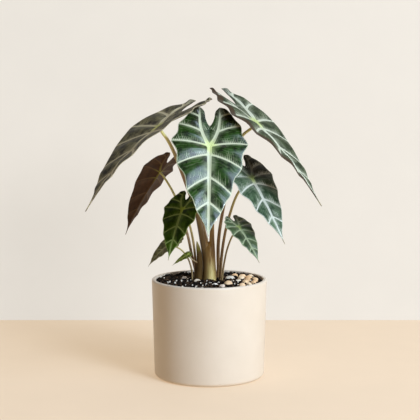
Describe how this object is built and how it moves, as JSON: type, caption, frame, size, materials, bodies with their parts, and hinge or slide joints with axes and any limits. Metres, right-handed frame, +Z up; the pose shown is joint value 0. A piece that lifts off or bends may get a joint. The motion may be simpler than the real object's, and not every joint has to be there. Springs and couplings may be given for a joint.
{
  "type": "potted african mask plant",
  "caption": "Small aroid with arrow-shaped, wavy, pale-veined leaves on slim stalks, rooted in soil in a straight matte ceramic pot.",
  "frame": {"origin": "middle of the pot's flat underside, on the surface that the pot stands on", "axes": "+Z up along the pot's axis, -Y towards the side that the front leaf faces, +X to the right seen from that side"},
  "size_m": [0.2656, 0.1972, 0.3501],
  "materials": {
    "ceramic": "matte",
    "potting_soil": "matte",
    "stem_skin": "satin",
    "sheath_skin": "matte",
    "stalk_skin": "satin",
    "leaf_green": "satin",
    "leaf_olive": "satin",
    "stone_tan": "matte",
    "stone_pale": "matte"
  },
  "bodies": {
    "root": {"blade_front": "leaf_green", "blade_left_back": "leaf_green", "blade_left_high": "leaf_green", "blade_left_low": "leaf_green", "blade_left_mid": "leaf_green", "blade_left_tiny": "leaf_olive", "blade_right_high": "leaf_green", "blade_right_low": "leaf_green", "blade_right_mid": "leaf_green", "pebble_cream_left": "stone_pale", "pebble_cream_right": "stone_pale", "pebble_grey_left": "stone_pale", "pebble_grey_right": "stone_pale", "pebble_rose": "stone_pale", "pebble_small_left": "stone_pale", "pebble_tan_1": "stone_tan", "pebble_tan_10": "stone_tan", "pebble_tan_11": "stone_tan", "pebble_tan_12": "stone_tan", "pebble_tan_13": "stone_tan", "pebble_tan_2": "stone_tan", "pebble_tan_3": "stone_tan", "pebble_tan_4": "stone_tan", "pebble_tan_5": "stone_tan", "pebble_tan_6": "stone_tan", "pebble_tan_7": "stone_tan", "pebble_tan_8": "stone_tan", "pebble_tan_9": "stone_tan", "pebble_white": "stone_pale", "pot": "ceramic", "sheath_left": "sheath_skin", "soil": "potting_soil", "sprout": "leaf_olive", "stalk_front": "stalk_skin", "stalk_left_back": "stalk_skin", "stalk_left_high": "stalk_skin", "stalk_left_low": "stalk_skin", "stalk_left_mid": "stalk_skin", "stalk_left_tiny": "stalk_skin", "stalk_right_high": "stalk_skin", "stalk_right_low": "stalk_skin", "stalk_right_mid": "stalk_skin", "stem": "stem_skin"}
  },
  "joints": []
}
